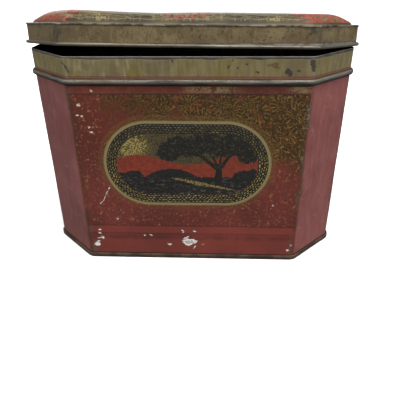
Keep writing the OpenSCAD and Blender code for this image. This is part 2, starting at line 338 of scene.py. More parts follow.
def face_outwards(mesh):
    work = bmesh.new()
    work.from_mesh(mesh)
    bmesh.ops.recalc_face_normals(work, faces=work.faces)
    work.to_mesh(mesh)
    work.free()


def make_mesh(name, verts, faces, materials, index=None):
    """A smooth-shaded mesh object from millimetres about the middle of the walls."""
    mesh = bpy.data.meshes.new(name)
    mesh.from_pydata((np.asarray(verts) * MM).tolist(), [], faces)
    for material in materials:
        mesh.materials.append(material)
    if index is not None:
        mesh.polygons.foreach_set("material_index", index)
    face_outwards(mesh)
    mesh.shade_smooth()
    mesh.set_sharp_from_angle(angle=SHARP)
    return link(bpy.data.objects.new(name, mesh))


def to_frame(verts):
    verts[:, 1] += MID_Y
    return verts


def wall_zones(section, columns):
    """A material number for each face: 0 plain print, 1 front print, 2 neck, 3 inside."""
    m = len(section)
    half = m // 2
    index = []
    for _, way in columns[:-1]:
        front = 1 if way[1] < -0.95 else 0
        for j in range(m):
            if half <= j < m - 1:
                index.append(3)
            elif section[j, 1] > BEAD_LOW - 0.6:
                index.append(2)
            else:
                index.append(front)
    return index + [0] * (2 * (half - 1))


def inner_faces(section, columns):
    """For each face of a sweep, 1 where it lies on the sheet's inner face and 0 outside."""
    m = len(section)
    one = [1 if m // 2 <= j < m - 1 else 0 for j in range(m)]
    return one * (len(columns) - 1) + [0] * (2 * (m // 2 - 1))


def wall_path():
    """The wall from its hook in the base seam to the hem along the neck's edge."""
    middle = -SHEET / 2
    fold = (SHEET + 0.05) / 2
    hook = 1.0 - SHEET / 2
    low = 0.5
    path = [(hook, BASE_SEAM - 0.8), (hook, low + 0.3), (hook - 0.3, low), (middle + 0.3, low)]
    path += climb(middle, low + 0.3, BEAD_LOW - 0.5, 26)
    path += [(middle + 0.1, BEAD_LOW - 0.05)]
    for i in range(1, 18):
        a = math.radians(-90 + 180 * i / 18)
        out = (BEAD_OUT - SHEET / 2 - middle) * math.cos(a) ** 0.9 + middle
        path.append((out, BEAD_Z + (BEAD_H - SHEET) / 2 * math.sin(a)))
    path += [(middle + 0.1, BEAD_TOP + 0.05)]
    top = NECK_TOP - SHEET / 2 - fold
    path += climb(middle, BEAD_TOP + 0.5, top - 0.2, 6)
    path += arc((middle - fold, top), fold, 0, 180, 8)
    path += climb(middle - 2 * fold, top - 0.3, NECK_TOP - 2.6, 3)
    return path


def seam_strip(side, low, high):
    """The folded seam inside an end wall, as a rounded strip that stands on the wall."""
    inner, near, far = -1.38, SEAM_Y - 5.4, SEAM_Y + 0.35
    section = [
        (-0.3, near), (inner + 0.3, near), (inner, near + 0.3), (inner, far - 0.9),
        (-1.0, far - 0.35), (-0.6, far), (-0.3, far),
    ]
    heights = (low, low + 0.4, high - 0.4, high)
    verts = [(side * (HALF_W + out), y, z) for z in heights for out, y in section]
    m = len(section)
    ends = [tuple(range(m)), tuple(range(len(verts) - m, len(verts)))]
    return np.array(verts, float), skin(len(heights), m) + ends


def joined(parts):
    """Several (vertices, faces) as one pair."""
    verts, faces, start = [], [], 0
    for v, f in parts:
        verts.append(v)
        faces += [tuple(i + start for i in face) for face in f]
        start += len(v)
    return np.vstack(verts), faces


def make_front_wall(materials):
    section = sheet_section(wall_path())
    columns = front_columns()
    verts, faces = sweep(section, columns)
    index = wall_zones(section, columns)
    piece = make_mesh("body_front_wall", to_frame(bulge_walls(verts)), faces, materials, index)
    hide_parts("body_front_sheet")
    return piece


def make_rear_wall(materials):
    section = sheet_section(wall_path())
    columns = rear_columns()
    parts = [sweep(section, columns)]
    index = wall_zones(section, columns)
    for side in (-1, 1):
        parts.append(seam_strip(side, BASE_SEAM + 2, BEAD_LOW - 3))
        index += [3] * len(parts[-1][1])
    verts, faces = joined(parts)
    piece = make_mesh("body_rear_wall", to_frame(bulge_walls(verts)), faces, materials, index)
    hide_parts("body_rear_sheet")
    return piece


STEP_IN = 14.0
STEP_UP = 0.8
PANEL_SHRINK = (0.25, 0.5, 0.75, 0.9, 1.0)
BASE_PROFILE = [
    (-STEP_IN, BASE_SEAM + SHEET), (-0.6, BASE_SEAM + SHEET), (-0.35, BASE_SEAM), (-0.35, 0.6),
    (-0.05, 0.32), (0.8, 0.32), (1.05, 0.6), (1.05, BASE_SEAM - 0.55), (0.85, BASE_SEAM - 0.3),
    (0.5, BASE_SEAM - 0.35), (0.5, 1.0), (0.2, 1.0), (0.2, BASE_SEAM - 0.3), (0.4, BASE_SEAM - 0.05),
    (0.75, BASE_SEAM), (1.15, BASE_SEAM - 0.15), (1.35, BASE_SEAM - 0.5), (1.35, 0.5), (1.2, 0.12),
    (0.85, 0), (-0.2, 0), (-0.55, 0.15), (-0.65, 0.5), (-0.65, BASE_SEAM - 0.3), (-0.9, BASE_SEAM),
    (-STEP_IN - SHEET, BASE_SEAM),
]


def base_rings():
    """The bottom plate from the middle of its panel, round its seam and back underneath."""
    high = BASE_SEAM + STEP_UP
    rings = [(-STEP_IN - 1.2, high + SHEET, s) for s in PANEL_SHRINK]
    rings += [(out, z, 1) for out, z in BASE_PROFILE]
    rings += [(-STEP_IN - 1.5, high, s) for s in PANEL_SHRINK[::-1]]
    return rings, high


def make_base(material):
    rings, high = base_rings()
    verts, faces = dish(rings, high + SHEET, high)
    inside = np.clip(1 - np.hypot(verts[:, 0] / (HALF_W - 20), verts[:, 1] / (HALF_D - 20)), 0, 1)
    verts[:, 2] += 0.35 * np.sqrt(inside) * (verts[:, 2] > BASE_SEAM + 0.4)
    piece = make_mesh("base_plate", to_frame(verts), faces, [material])
    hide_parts("bottom_plate")
    return piece


def skirt_path():
    middle = LID_GAP + SHEET / 2
    r = CURL_R - SHEET / 2
    path = arc((CURL_OUT, CURL_Z), r, 480, 180, 30)
    path += climb(middle, CURL_Z + 0.6, NECK_TOP - 0.1, 7)
    return path + [(middle + 0.06, NECK_TOP + 0.17), (SKIRT_OUT + 0.1, NECK_TOP + 0.25)]


def lap_strip():
    """The end of the skirt's strip, which lies behind its start."""
    low, high = CURL_Z + CURL_R, NECK_TOP - 0.9
    out = LID_GAP - LAP_GAP
    verts = []
    for x in (-LAP_W, LAP_GAP):
        for y in (out - SHEET, out):
            for z in (low, high):
                verts.append((x, HALF_D + y, z))
    faces = [(0, 1, 3, 2), (4, 6, 7, 5), (0, 4, 5, 1), (2, 3, 7, 6), (0, 2, 6, 4), (1, 5, 7, 3)]
    return np.array(verts, float), faces


def make_skirt(materials):
    section = sheet_section(skirt_path())
    columns = skirt_columns()
    parts = [sweep(section, columns), lap_strip()]
    index = inner_faces(section, columns) + [1] * 6
    verts, faces = joined(parts)
    verts = to_frame(bend_lid(verts))
    piece = make_mesh("lid_skirt", set_ajar(verts), faces, materials, index)
    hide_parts("lid_skirt_band")
    return piece


def cushion_rings(thin):
    """The lid's cushion from its middle to the foot of its shoulder, on one face of the sheet."""
    shoulder_in = SKIRT_OUT - MARGIN - SHOULDER_W
    rings = []
    for i in range(1, 13):
        s = i / 12
        rings.append((shoulder_in, RIM_TOP + SHOULDER_H + CROWN_H * (1 - s * s) - SHEET + thin, s))
    for i in range(1, 15):
        a = math.radians(90 - 90 * i / 15)
        out = shoulder_in + (SHOULDER_W - SHEET + thin) * math.cos(a)
        rings.append((out, RIM_TOP + SHOULDER_H * math.sin(a) - SHEET + thin, 1))
    foot = shoulder_in + SHOULDER_W - SHEET + thin
    rings.append((foot + 0.15, RIM_TOP - SHEET + thin + 0.35, 1))
    rings.append((foot + 0.6, RIM_TOP - SHEET + thin + 0.05, 1))
    rings.append((foot + 1.2, RIM_TOP - SHEET + thin, 1))
    return rings


RIM_PROFILE = [
    (RIM_OUT - 1.5, RIM_TOP), (RIM_OUT - 1.0, RIM_TOP + 0.16), (RIM_OUT - 0.5, RIM_TOP + 0.16),
    (RIM_OUT - 0.12, RIM_TOP - 0.05), (RIM_OUT, RIM_TOP - 0.4), (RIM_OUT - 0.08, RIM_LOW + 0.12),
    (RIM_OUT - 0.3, RIM_LOW), (SKIRT_OUT + 0.05, RIM_LOW), (SKIRT_OUT + 0.05, RIM_LOW + 0.3),
    (SKIRT_OUT + 0.16, RIM_LOW + 0.32), (SKIRT_OUT + 0.16, RIM_TOP - SHEET),
]


def panel_rings():
    """The lid's panel: its cushion, its margin, its rolled rim, and its underside."""
    rim = [(out, z, 1) for out, z in RIM_PROFILE]
    return cushion_rings(SHEET) + rim + cushion_rings(0)[::-1]


END_START, END_RUN, END_FALL = 90, 16, 3.5


def press_cushion(verts):
    """The cushion's ends fall away gradually. It is fuller at the left and sunk near the middle."""
    x, y, z = verts.T
    up = np.clip((z - RIM_TOP - 1) / SHOULDER_H, 0, 1)
    forward = np.clip(0.5 - y / (2 * HALF_D), 0, 1)
    left = np.exp(-(((x + 78) / 25) ** 2))
    sunk = np.exp(-(((x + 22) / 20) ** 2)) + 0.7 * np.exp(-(((x - 70) / 40) ** 2))
    ends = np.clip((np.abs(x) - END_START) / END_RUN, 0, 1) ** 2
    verts[:, 2] += up * forward * (1.3 * left - 0.7 * sunk) - up * ends * END_FALL
    return verts


def make_cushion(materials):
    rings = panel_rings()
    top = RIM_TOP + SHOULDER_H + CROWN_H
    verts, faces = dish(rings, top, top - SHEET)
    n = (len(verts) - 2) // len(rings)
    under = len(rings) - len(cushion_rings(0)) - 1
    index = []
    for r in range(len(rings) - 1):
        index += [1 if r >= under else 0] * n
    index += [0, 1] * n
    verts = to_frame(bend_lid(press_cushion(verts)))
    piece = make_mesh("lid_cushion", set_ajar(verts), faces, materials, index)
    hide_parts("lid_top_panel")
    return piece


# ---------------- paint: numbers over a surface

def linear(colour):
    """A display colour of 0 to 255 as the linear one that a node takes; a socket as it is."""
    if not isinstance(colour, tuple):
        return colour
    parts = []
    for c in np.array(colour) / 255:
        parts.append(c / 12.92 if c <= 0.04045 else ((c + 0.055) / 1.055) ** 2.4)
    return (*parts, 1.0)


def node_method(operation, swapped=False):
    """A method of Field that adds one math node."""
    def method(self, *other):
        values = (*other, self) if swapped else (self, *other)
        return self.nodes.math(operation, *values)
    return method


class Field:
    """A number that varies over a surface. Arithmetic on it adds nodes to its tree."""

    def __init__(self, nodes, socket):
        self.nodes = nodes
        self.socket = socket

    __add__ = node_method("ADD")
    __radd__ = node_method("ADD", swapped=True)
    __sub__ = node_method("SUBTRACT")
    __rsub__ = node_method("SUBTRACT", swapped=True)
    __mul__ = node_method("MULTIPLY")
    __rmul__ = node_method("MULTIPLY", swapped=True)
    least = node_method("MINIMUM")
    most = node_method("MAXIMUM")
    size = node_method("ABSOLUTE")
    root = node_method("SQRT")
    part = node_method("FRACT")
    whole = node_method("FLOOR")
    sine = node_method("SINE")

    def held(self):
        return self.nodes.math("ADD", self, 0.0, clamp=True)

    def above(self, edge, soft):
        """0 well below the edge, 1 well above it, and smooth for soft on either side."""
        limits = {"Value": self, "From Min": edge - soft, "From Max": edge + soft}
        node = self.nodes.node("ShaderNodeMapRange", limits, interpolation_type="SMOOTHSTEP")
        return Field(self.nodes, node.outputs["Result"])

    def below(self, edge, soft):
        return 1 - self.above(edge, soft)

    def between(self, low, high, soft):
        return self.above(low, soft) * self.below(high, soft)

    def near(self, middle, reach, soft):
        """1 within the reach of a middle value, and 0 further off."""
        return (self - middle).size().below(reach, soft)


class Nodes:
    """A node tree, with short ways to add to it."""

    def __init__(self, tree):
        self.tree = tree

    def node(self, kind, inputs=None, **settings):
        """A new node with its settings, and a value or a link for each of the inputs given."""
        node = self.tree.nodes.new(kind)
        for key, value in settings.items():
            setattr(node, key, value)
        for key, value in (inputs or {}).items():
            self.feed(node.inputs[key], value)
        return node

    def feed(self, socket, value):
        if isinstance(value, Field):
            value = value.socket
        if isinstance(value, bpy.types.NodeSocket):
            self.tree.links.new(value, socket)
        else:
            socket.default_value = value

    def math(self, operation, *values, clamp=False):
        inputs = dict(enumerate(values))
        node = self.node("ShaderNodeMath", inputs, operation=operation, use_clamp=clamp)
        return Field(self, node.outputs[0])

    def split(self, vector):
        """The three numbers of a vector."""
        outputs = self.node("ShaderNodeSeparateXYZ", {0: vector}).outputs
        return [Field(self, output) for output in outputs]


class Paint(Nodes):
    """A material that is built up in coats. Places are in millimetres about the wall's middle."""

    def __init__(self, name, lid=False):
        self.material = bpy.data.materials.new(name)
        self.material.use_nodes = True
        super().__init__(self.material.node_tree)
        self.tree.nodes.clear()
        source = self.node("ShaderNodeTexCoord").outputs["Object"]
        if lid:
            shut = {"Vector": source, "Center": (0, AXIS_Y * MM, AXIS_Z * MM), "Angle": LID_AJAR}
            source = self.node("ShaderNodeVectorRotate", shut, rotation_type="X_AXIS").outputs[0]
        in_mm = {"Vector": source, "Scale": (1 / MM,) * 3, "Location": (0, -MID_Y, 0)}
        self.place = self.node("ShaderNodeMapping", in_mm).outputs["Vector"]
        self.x, self.y, self.z = self.split(self.place)

    def vector_math(self, operation, *values, output="Vector"):
        inputs = dict(enumerate(values))
        return self.node("ShaderNodeVectorMath", inputs, operation=operation).outputs[output]

    def spot(self, x, y):
        """A flat place made of two numbers."""
        return self.node("ShaderNodeCombineXYZ", {0: x, 1: y}).outputs[0]

    def noise(self, size, where=None, detail=3.0, rough=0.5, stretch=None):
        """Smooth noise about 0.5, with features of about the given size."""
        where = self.place if where is None else where
        if stretch is not None:
            where = self.vector_math("MULTIPLY", where, stretch)
        inputs = {"Vector": where, "Scale": 1 / size, "Detail": detail, "Roughness": rough}
        return Field(self, self.node("ShaderNodeTexNoise", inputs).outputs["Fac"])

    def ripple(self, size, reach, **settings):
        """Noise about 0, spread over the given reach, which makes an edge uneven."""
        return (self.noise(size, **settings) - 0.5) * reach

    def mix(self, amount, low, high):
        """Two colours, or a colour and a node's colour, mixed by a field."""
        inputs = {0: amount, 6: linear(low), 7: linear(high)}
        return self.node("ShaderNodeMix", inputs, data_type="RGBA").outputs[2]

    def mix_number(self, amount, low, high):
        node = self.node("ShaderNodeMix", {0: amount, 2: low, 3: high}, data_type="FLOAT")
        return Field(self, node.outputs[0])

    def clouded(self, field, soft, low, high):
        """Two colours that pass into each other where a noise crosses its middle value."""
        return self.mix(field.above(0.5, soft), low, high)

    def ground(self, colour, rough, metal=0.0):
        """Starts the coats. A colour is a display colour of 0 to 255, or a node's colour."""
        self.colour, self.rough, self.metal = linear(colour), rough, metal

    def coat(self, amount, colour, rough=None, metal=None):
        """Lays a colour over what is there, with its own roughness and metal where given."""
        self.colour = self.mix(amount, self.colour, colour)
        if rough is not None:
            self.rough = self.mix_number(amount, self.rough, rough)
        if metal is not None:
            self.metal = self.mix_number(amount, self.metal, metal)

    def done(self, height, depth, sheen=0.35):
        """Ends the material, with a bump of the given depth in millimetres."""
        relief = {"Height": height, "Distance": depth * MM, "Strength": 1.0}
        bump = self.node("ShaderNodeBump", relief)
        shader = self.node("ShaderNodeBsdfPrincipled", {
            "Base Color": self.colour, "Roughness": self.rough, "Metallic": self.metal,
            "Normal": bump.outputs[0], "Specular IOR Level": sheen,
        })
        self.node("ShaderNodeOutputMaterial", {"Surface": shader.outputs[0]})
        return self.material


# ---------------- drawing helpers

def line(paint, place, start, end, r0, r1):
    """Distance outside a stroke between two places, r0 thick at one end and r1 at the other."""
    ux, uz = end[0] - start[0], end[1] - start[1]
    length = ux * ux + uz * uz
    off = paint.vector_math("SUBTRACT", place, (*start, 0))
    dot = paint.vector_math("DOT_PRODUCT", off, (ux / length, uz / length, 0), output="Value")
    along = Field(paint, dot).held()
    scaled = {0: (ux, uz, 0), "Scale": along}
    reach = paint.node("ShaderNodeVectorMath", scaled, operation="SCALE")
    beside = paint.vector_math("SUBTRACT", off, reach.outputs[0])
    width = paint.math("MULTIPLY_ADD", along, r1 - r0, r0)
    return Field(paint, paint.vector_math("LENGTH", beside, output="Value")) - width


def blot(paint, place, middle, rx, rz):
    """Distance outside an ellipse, roughly."""
    off = paint.vector_math("SUBTRACT", place, (*middle, 0))
    scaled = paint.vector_math("MULTIPLY", off, (1 / rx, 1 / rz, 0))
    r = paint.vector_math("LENGTH", scaled, output="Value")
    least = min(rx, rz)
    return paint.math("MULTIPLY_ADD", r, least, -least)


def nearest(shape, paint, place, rows):
    """Distance outside the nearest of several lines or blots, one for each row."""
    found = shape(paint, place, *rows[0])
    for row in rows[1:]:
        found = found.least(shape(paint, place, *row))
    return found


def hairlines(paint, where, size, width, seed):
    """Thin curling strokes: the places where a noise crosses its middle value."""
    moved = paint.vector_math("ADD", where, (seed, seed * 1.7, seed * 0.6))
    n = paint.noise(size, moved, detail=1.5)
    return (n - 0.5).size().below(width, width * 0.5)


def flower_heads(paint, u, v, size, petals):
    """Round flower heads, one in each cell of an uneven net, and the rays of their petals."""
    net = {"Vector": paint.spot(u, v), "Scale": 1 / size, "Randomness": 0.9}
    cell = paint.node("ShaderNodeTexVoronoi", net, feature="F1")
    middle = paint.split(cell.outputs["Position"])
    dx, dz = u - middle[0], v - middle[1]
    r = (dx * dx + dz * dz).root()
    turn = paint.math("ARCTAN2", dz, dx)
    rays = (turn * petals + r * (5.0 / size)).sine()
    return r.between(size * 0.08, size * 0.55, size * 0.04), rays


# ---------------- the printed walls

FIELD_X = 79.5
FIELD_Y = HALF_D - CUT + 0.5
FIELD_LOW = 29.0
FIELD_HIGH = 129.5
BAND_LOW = 22.5
BAND_HIGH = 28.2
STRIP_X = 78.0
BAND_RED = (140, 66, 56)
RED = (118, 56, 48)
RED_DARK = (92, 45, 40)
# A paler, pinker red for the cut corners: the red paint with a painted sheen.
RED_WITH_SHEEN = (134, 79, 76)
RED_BRIGHT = (146, 62, 46)
GOLD = (148, 118, 56)
GOLD_DULL = (106, 84, 40)
INK = (30, 28, 27)
METAL = (132, 126, 116)
RUST = (78, 54, 38)
CHALK = (226, 222, 216)

OVAL_X, OVAL_Z = -1.7, 79.4
OVAL_R = 32.1
OVAL_L = 26.9
OVAL_LINE = 1.9
OVAL_RING = 9.2


def paint_red(p, edge):
    """The red ground: mottled, paler and pinker on the cut corners as a painted sheen, and rubbed along the
    upright corners.
    """
    cloud = p.noise(38, detail=4)
    grit = p.noise(1.1, rough=0.65)
    p.ground(p.clouded(cloud, 0.16, RED_DARK, RED), 0.42)
    p.coat(grit.above(0.62, 0.08) * 0.35, RED_BRIGHT)
    p.coat(grit.below(0.38, 0.08) * 0.4, RED_DARK)
    streak = p.noise(5.0, detail=5, rough=0.6, stretch=(1, 1, 0.25))
    cut = edge.below(-0.5, 0.8)
    # The cut corners get a paler, pinker red than the front: a painted sheen over the same red paint.
    p.coat(cut * 0.78, RED_WITH_SHEEN, rough=0.36)
    p.coat(cut * streak.above(0.52, 0.10) * 0.22, (160, 110, 106), rough=0.34)
    p.coat(cut * cloud.below(0.46, 0.10) * 0.35, RED_DARK)
    p.coat(cut * hairlines(p, p.place, 16.0, 0.003, 61.0) * 0.35, (176, 138, 128))
    return cloud, grit


def paint_field(p, u, z, edge):
    """The ornamented field: a worn web of gold strokes, denser and browner above the picture."""
    inside = edge.above(0.2, 0.4) * z.between(FIELD_LOW, FIELD_HIGH, 0.4)
    patch = p.noise(22)
    lean = (u * 0.0042).least(0.24)
    olive = (z * 0.01 + lean + (patch - 0.5) * 1.0).above(1.10, 0.16) * inside
    p.coat(inside * 0.30, RED_DARK)
    p.coat(inside * z.above(88, 22) * 0.42, (80, 34, 14))
    p.coat(olive * 0.92, (60, 41, 9), rough=0.55)
    heads, rays = flower_heads(p, u, z, 15.0, 15.0)
    wear = p.noise(2.0, rough=0.65).above(0.50, 0.10)
    web = hairlines(p, p.place, 2.1, 0.055, 3.0)
    p.coat(olive * web * wear * 0.37, GOLD_DULL, rough=0.42, metal=0.15)
    shade = hairlines(p, p.place, 2.7, 0.05, 17.0)
    p.coat(olive * shade * 0.42, (38, 30, 20))
    p.coat(olive * heads * rays.above(0.45, 0.3) * wear * 0.46, GOLD, rough=0.42, metal=0.15)
    p.coat(olive * heads * rays.below(-0.25, 0.3) * 0.50, (34, 27, 18))
    fleck = p.noise(0.9, detail=1).above(0.66, 0.03)
    p.coat(olive * fleck * 0.6, GOLD)
    ember = p.noise(4.0, detail=2).above(0.60, 0.03) * p.noise(9.0, detail=1).above(0.5, 0.05)
    p.coat(olive * ember * 0.45, (122, 52, 32))
    fine = hairlines(p, p.place, 3.6, 0.020, 11.0)
    ghost = p.noise(2.4, rough=0.65).above(0.54, 0.05)
    far = z.below(58, 14).most(u.size().above(58, 10))
    p.coat(fine * ghost * inside * (0.22 + far * 0.34), (184, 138, 90))
    dark_web = hairlines(p, p.place, 4.6, 0.030, 41.0)
    p.coat(dark_web * inside * (1 - olive) * 0.30, (70, 36, 28))
    p.coat(heads * rays.above(0.3, 0.3) * inside * (1 - olive) * 0.22, (76, 40, 26))


def paint_bands(p, u, z, edge):
    """Plain bands above and below the field, with their ruled lines and what is left of the gold."""
    on_wall = edge.above(0.2, 0.4)
    rub = p.noise(5.5)
    fleck = p.noise(1.3, detail=2, rough=0.6)
    top = z.between(FIELD_HIGH + 0.8, BEAD_LOW - 0.6, 0.3) * on_wall
    p.coat(top * fleck.above(0.56, 0.06) * 0.45, GOLD_DULL)
    p.coat(top * rub.below(0.46, 0.08) * 0.45, (84, 46, 34))
    worn = u.near(15, 15, 6).most(u.near(76, 10, 4))
    worn = worn * z.above(FIELD_HIGH + 1.0, 1.2)
    p.coat(top * worn * (rub * 0.6 + fleck).above(0.74, 0.10) * 0.75, (134, 122, 86), rough=0.5)
    p.coat(z.near(FIELD_HIGH, 0.35, 0.25) * on_wall * 0.7, INK)
    p.coat(z.between(BAND_LOW, BAND_HIGH, 0.4) * on_wall * 0.35, BAND_RED)
    p.coat(z.below(17, 1.5) * on_wall * 0.30, BAND_RED)
    p.coat(z.near(FIELD_LOW, 0.35, 0.3) * on_wall * 0.55, INK)
    p.coat(z.near(22, 0.3, 0.3) * on_wall * 0.30, INK)
    p.coat(z.near(18, 1.6, 0.9) * on_wall * rub.above(0.48, 0.07) * 0.45, (78, 42, 36))
    strip = u.size().near(STRIP_X, 1.0, 0.7) * z.between(6, FIELD_HIGH, 1)
    front_strip = strip * edge.size().below(6, 1) * (0.2 + rub.above(0.48, 0.08) * 0.8)
    p.coat(front_strip * 0.6, (58, 44, 26), rough=0.5)
    p.coat(front_strip * fleck.above(0.64, 0.04) * 0.6, (140, 122, 80))


def oval_distance(x, z):
    """Distance outside the picture's rounded frame, and the way along it."""
    dx = x - OVAL_X
    dz = z - OVAL_Z
    beyond = (dx.size() - OVAL_L).most(0.0)
    d = (beyond * beyond + dz * dz).root() - OVAL_R
    turn = dx.nodes.math("ARCTAN2", dz.size(), beyond)
    along = dx.size().least(OVAL_L) + (math.pi / 2 - turn) * (OVAL_R - 5.6)
    return d, along


def paint_frame(p, z, d, along):
    """The gold line round the picture, its ring of small plaited dashes, and a speckled halo."""
    speck = p.noise(1.0, detail=2, rough=0.6)
    halo = d.between(0, 3.8, 1.0) * speck.above(0.52, 0.05)
    p.coat(halo * (0.45 + (z - OVAL_Z).above(0, 20) * 0.35), (104, 84, 44))
    p.coat(d.below(0.15, 0.3), (143, 130, 90), rough=0.38, metal=0.2)
    p.coat(d.size().below(0.5, 0.5) * speck.above(0.5, 0.05) * 0.5, (104, 84, 44))
    p.coat(d.below(-OVAL_LINE, 0.25), (52, 46, 36), rough=0.5, metal=0.0)
    shake = p.noise(2.6, detail=1)
    rows = (-1.0 * d - OVAL_LINE - 0.3) * (4.6 / (OVAL_RING - OVAL_LINE)) + (shake - 0.5) * 1.2
    row = rows.whole()
    across = rows.part() - 0.5
    lean = (row * 0.5).part() * 4 - 1
    pace = along * (1 / 2.6) + row * 0.5 + (shake - 0.5) * 1.2
    step = (pace + across * lean * 0.55).part() - 0.5
    dash = (step * step * 7.0 + across * across * 14).below(0.66, 0.3)
    ring = d.between(-OVAL_RING, -OVAL_LINE - 0.2, 0.15)
    bright = p.noise(6, detail=2)
    upper = (z - OVAL_Z).above(8, 12)
    tone = p.mix(upper * 0.7 + bright.above(0.5, 0.12) * 0.25, (176, 154, 88), (98, 90, 68))
    keep = p.noise(1.2, detail=2).above(0.44, 0.10)
    p.coat(ring * dash * (0.15 + keep * 0.85) * 0.95, tone)
    p.coat(ring * (1 - dash) * 0.75, (27, 25, 23))


SKYLINE = 83.4
GROUND_LEVEL = 70.3
KNOLL_X, KNOLL_TOP = -13, 76.6
TRUNK = ((20.5, 67), (20.8, 77), 3.0, 2.0)
LIMBS = [(-82, 34, 1.9), (-38, 19, 1.3), (12, 15, 1.2), (56, 24, 1.7)]
CROWN_MASSES = 10
CROWN_STEP = 6.1
TRACK = [((-12, 69.2), (4, 65.6), 0.4, 1.5), ((4, 65.6), (38, 58.8), 1.5, 0.15)]
BUSHES = [((-40, 70), 7, 5.0), ((-47, 69), 6, 4.6), ((38, 70.5), 7.5, 5.0), ((44, 71.5), 5.5, 5.0)]


def limb_strokes():
    """The trunk, and limbs that spread from its top, each bending outwards half way along."""
    strokes = [TRUNK]
    fork = (TRUNK[1][0], TRUNK[1][1] - 1)
    for degrees, length, thick in LIMBS:
        half = length / 2
        rise, spread = math.radians(degrees * 0.62), math.radians(degrees)
        bend = (fork[0] + half * math.sin(rise), fork[1] + half * math.cos(rise))
        tip = (bend[0] + half * math.sin(spread), bend[1] + half * math.cos(spread))
        thin = thick * 0.6
        strokes += [(fork, bend, thick, thin), (bend, tip, thin, 0.4)]
    return strokes


def crown_masses():
    """Rounded masses of leaves in an arched row, which overlap as one broad crown."""
    masses = []
    for i in range(CROWN_MASSES):
        x = -14 + CROWN_STEP * i
        z = 95.5 - 0.0075 * (x - 14) ** 2 + 1.8 * math.sin(1.9 * i)
        masses.append(((x, z), 8.6, 7.4))
    return masses


def paint_sky(p, place, view, grain, leaf):
    """An evening sky, with a stippled cloud of gold at the left."""
    sky = p.clouded(grain, 0.15, (52, 45, 30), (86, 77, 52))
    p.coat(view, sky, rough=0.45)
    glow = blot(p, place, (-40, 92), 10.5, 9) + (leaf - 0.5) * 13
    cloud = (glow.most(-3.0) + p.ripple(0.8, 36, detail=1)).below(-3.4, 2.0)
    p.coat(view * cloud, (164, 144, 80))


def paint_land(p, x, z, place, view, grain, leaf):
    """Red hills, then the dark ground with its knoll, bushes, track and glints."""
    rolling = (x * 0.091 + 4.85).sine() * 3.6 + SKYLINE
    hills = (z - rolling + (leaf - 0.5) * 3.0).below(0, 0.35)
    hue = p.clouded(leaf, 0.14, (106, 48, 35), (134, 55, 39))
    p.coat(view * hills, p.mix(x.above(10, 35) * 0.35, hue, (112, 56, 42)))
    bare = (blot(p, place, (43, 83), 2.2, 1.9) + (leaf - 0.5) * 3).below(0, 0.6)
    p.coat(view * bare * 0.9, (88, 80, 74), rough=0.45, metal=0.2)
    ground = z - GROUND_LEVEL + (leaf - 0.5) * 4.0
    aside = x - KNOLL_X
    knoll = z - KNOLL_TOP + aside * aside * 0.0175 + (leaf - 0.5) * 2.0
    land = ground.least(knoll).least(nearest(blot, p, place, BUSHES) + (leaf - 0.5) * 3.5)
    wet = p.mix(grain.above(0.58, 0.08), (30, 29, 28), (50, 49, 48))
    p.coat(view * land.below(0, 0.3), wet)
    track = nearest(line, p, place, TRACK) + (leaf - 0.5) * 2.2
    p.coat(view * track.below(0, 0.35) * grain.above(0.47, 0.06), (136, 118, 70))
    glints = p.noise(1.3, detail=2, stretch=(0.35, 1, 1.8)).above(0.62, 0.03)
    p.coat(view * (z - 70).below(0, 2) * glints * 0.45, (112, 110, 104))


def paint_tree(p, place, view, grain):
    """A broad dark tree, with a few gaps in its leaves."""
    tree = nearest(line, p, place, limb_strokes())
    hang = p.ripple(1.7, 11.0, detail=4, rough=0.7, stretch=(1.5, 1, 0.6))
    crown = nearest(blot, p, place, crown_masses()) + hang
    holes = p.noise(1.9, detail=2, rough=0.6).above(0.61, 0.03) * crown.above(-5.0, 2.0)
    foliage = crown.below(0, 0.3) * (1 - holes)
    dark = p.mix(grain.above(0.62, 0.05), (30, 30, 28), (72, 66, 50))
    p.coat(view * foliage.most(tree.below(0, 0.25)), dark)


def paint_picture(p, x, z, d):
    """A plain evening landscape: rolling hills, a dark knoll, a track and one broad tree."""
    place = p.spot(x, z)
    grain = p.noise(0.9, detail=2, rough=0.6)
    leaf = p.noise(2.0, rough=0.65)
    view = d.below(-OVAL_RING, 0.2)
    paint_sky(p, place, view, grain, leaf)
    paint_land(p, x, z, place, view, grain, leaf)
    paint_tree(p, place, view, grain)


# Each chip is (x, z, radius), each stroke (start, end, radius at start, radius at end).
CHIPS = [
    (-69.9, 24.9, 1.0), (-70.3, 21.8, 0.8), (-68.6, 17.2, 1.6), (-73.6, 11.6, 2.5), (-72.0, 13.8, 1.3),
    (-55.5, 34.2, 0.7), (-35.8, 20, 0.7), (-30.5, 20.3, 1.0), (-6, 24.4, 1.4), (2.8, 24.5, 1.3),
    (-2.1, 14.4, 4.4), (1.8, 15.0, 2.6), (-16.4, 12.3, 1.2), (9.2, 12.4, 0.6), (60.9, 48, 0.5),
    (75, 8.2, 1.3), (76.6, 13, 0.8), (-73, 122.1, 1.3), (-74.4, 115.1, 0.9), (-71.9, 114.6, 0.8),
    (-67.3, 106.9, 0.7), (-66.5, 103.2, 0.8), (-63.5, 131.8, 0.7),
]
SCRATCHES = [
    ((-58.6, 61), (-61.5, 56.5), 0.2, 0.05), ((-61.5, 56), (-64.5, 50), 0.05, 0.15),
    ((-65, 49.5), (-67, 47.6), 0.2, 0.1), ((-2, 19.5), (-6, 17), 0.5, 0.3),
    ((3.2, 10.6), (1.6, 7.4), 0.5, 0.1), ((-72.5, 17), (-67.5, 17.8), 0.3, 0.2),
]
SCUFFS = [((-75.8, 8.2), 1.6, 4.6), ((-77.2, 25), 1.6, 3.4), ((76.4, 9.5), 1.2, 8.0), ((78, 53), 1.0, 3.0)]


